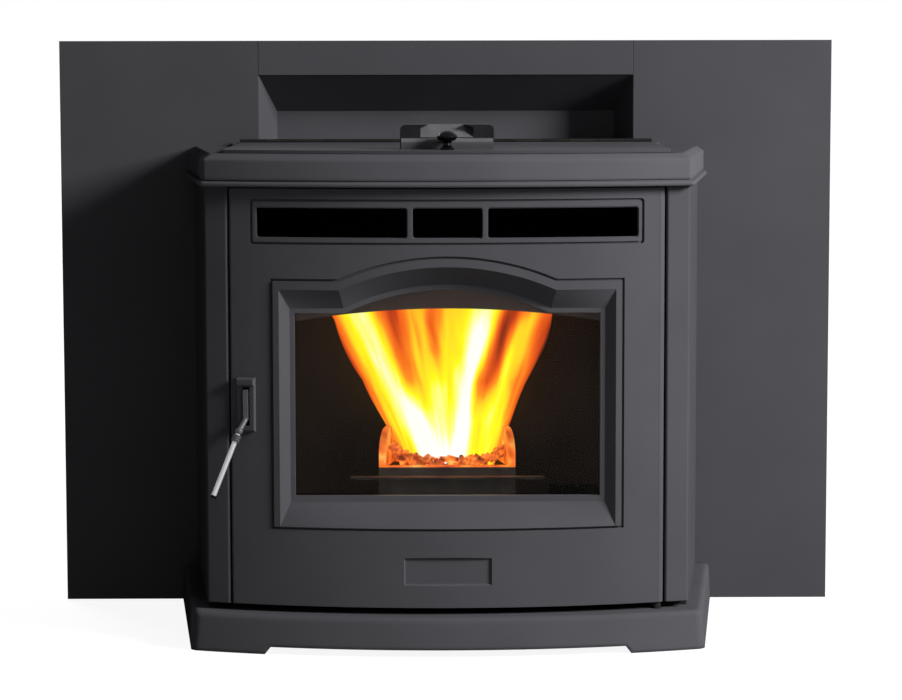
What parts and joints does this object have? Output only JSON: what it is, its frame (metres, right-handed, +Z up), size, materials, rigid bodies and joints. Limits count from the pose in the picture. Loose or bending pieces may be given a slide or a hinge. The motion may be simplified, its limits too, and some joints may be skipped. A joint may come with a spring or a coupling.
{
  "type": "pellet fireplace insert",
  "caption": "Pellet fireplace insert with a bowed cast front, arched glass door, vent grille, hopper lid with a mushroom knob and a black sheet surround.",
  "frame": {"origin": "floor, under the middle of the whole object", "axes": "+X to the right seen from the front, +Y to the rear, +Z up"},
  "size_m": [1.0414, 0.6933, 0.762],
  "materials": {
    "cast_black": "satin stove paint",
    "sheet_black": "satin powder coat",
    "steel_dark": "matt heat paint",
    "zinc_sheet": "zinc coated",
    "chrome": "polished",
    "knob_black": "glossy",
    "dial_black": "matt",
    "motor_black": "semi gloss",
    "glass": "smoky ceramic",
    "gasket": "woven fibre",
    "pot_iron": "bare scaled",
    "steel": "bright",
    "brass": "plain",
    "inlet_black": "matt"
  },
  "bodies": {
    "insert": {"base_plinth": "cast_black", "chassis_pan": "zinc_sheet", "levelling_bolts": "steel", "front_frame": "steel_dark", "right_column": "cast_black", "left_column": "cast_black", "right_side_panel": "sheet_black", "left_side_panel": "sheet_black", "cast_top": "cast_black", "surround_right": "sheet_black", "surround_left": "sheet_black", "surround_header": "sheet_black", "surround_pocket": "sheet_black", "rear_casing": "zinc_sheet", "rear_top_panel": "zinc_sheet", "power_inlet": "inlet_black", "latch_keeper": "steel_dark", "hinge_pins": "steel", "hinge_washer": "steel_dark", "firebox": "steel_dark", "flame_baffle": "steel_dark", "heat_exchanger_fins": "steel_dark", "burn_pot": "pot_iron", "igniter": "steel", "ash_pan": "steel_dark", "hopper_deck": "sheet_black", "deck_gasket": "gasket", "hopper": "steel_dark", "control_tray": "sheet_black", "lid_hinge": "steel_dark", "feed_tube": "zinc_sheet", "gear_motor": "motor_black", "exhaust_duct": "zinc_sheet", "combustion_housing": "zinc_sheet", "combustion_motor": "motor_black", "flue_pipe": "zinc_sheet", "air_intake_pipe": "zinc_sheet", "convection_housing": "zinc_sheet", "convection_motor": "motor_black"},
    "door": {"front_door": "cast_black", "door_glass": "glass", "glass_gasket": "gasket", "glass_clips": "steel", "clip_screws": "steel", "door_gasket": "gasket", "latch_escutcheon": "cast_black"},
    "latch": {"latch_lever": "steel_dark", "latch_ferrule": "steel_dark", "latch_grip": "chrome", "latch_end_cap": "knob_black"},
    "lid": {"hopper_lid": "sheet_black", "lid_pull": "cast_black"},
    "knob": {"lid_knob": "knob_black", "lid_cam": "brass"},
    "auger": {"auger": "steel"},
    "combustion_fan": {"combustion_impeller": "steel"},
    "convection_fan": {"convection_wheel": "zinc_sheet"},
    "temperature_dial": {"temperature_dial": "dial_black"},
    "feed_dial": {"feed_dial": "dial_black"}
  },
  "joints": [
    {"name": "door_swing", "type": "hinge", "parent": "insert", "child": "door", "pos_m": [0.2623, -0.27584, 0.318], "axis": [0, 0, 1], "range_deg": [0, 93]},
    {"name": "latch_lift", "type": "hinge", "parent": "door", "child": "latch", "pos_m": [-0.25064, -0.29013, 0.322], "axis": [-0.9665, 0.2567, 0], "range_deg": [0, 70]},
    {"name": "lid_swing", "type": "hinge", "parent": "insert", "child": "lid", "pos_m": [0, 0.03416, 0.6273], "axis": [-1, 0, 0], "range_deg": [0, 95]},
    {"name": "knob_turn", "type": "hinge", "parent": "lid", "child": "knob", "pos_m": [0, -0.27534, 0.6245], "axis": [0, 0, 1], "range_deg": [0, 90]},
    {"name": "auger_spin", "type": "hinge", "parent": "insert", "child": "auger", "pos_m": [0, 0.10666, 0.2], "axis": [0, 1, 0], "continuous": true},
    {"name": "combustion_fan_spin", "type": "hinge", "parent": "insert", "child": "combustion_fan", "pos_m": [0.17, 0.27666, 0.14], "axis": [0, 1, 0], "continuous": true},
    {"name": "convection_fan_spin", "type": "hinge", "parent": "insert", "child": "convection_fan", "pos_m": [-0.2, 0.19666, 0.13], "axis": [1, 0, 0], "continuous": true},
    {"name": "temperature_dial_turn", "type": "hinge", "parent": "insert", "child": "temperature_dial", "pos_m": [-0.226, -0.16834, 0.6], "axis": [0, 0, -1], "range_deg": [0, 270]},
    {"name": "feed_dial_turn", "type": "hinge", "parent": "insert", "child": "feed_dial", "pos_m": [-0.226, -0.07334, 0.6], "axis": [0, 0, -1], "range_deg": [0, 270]}
  ]
}
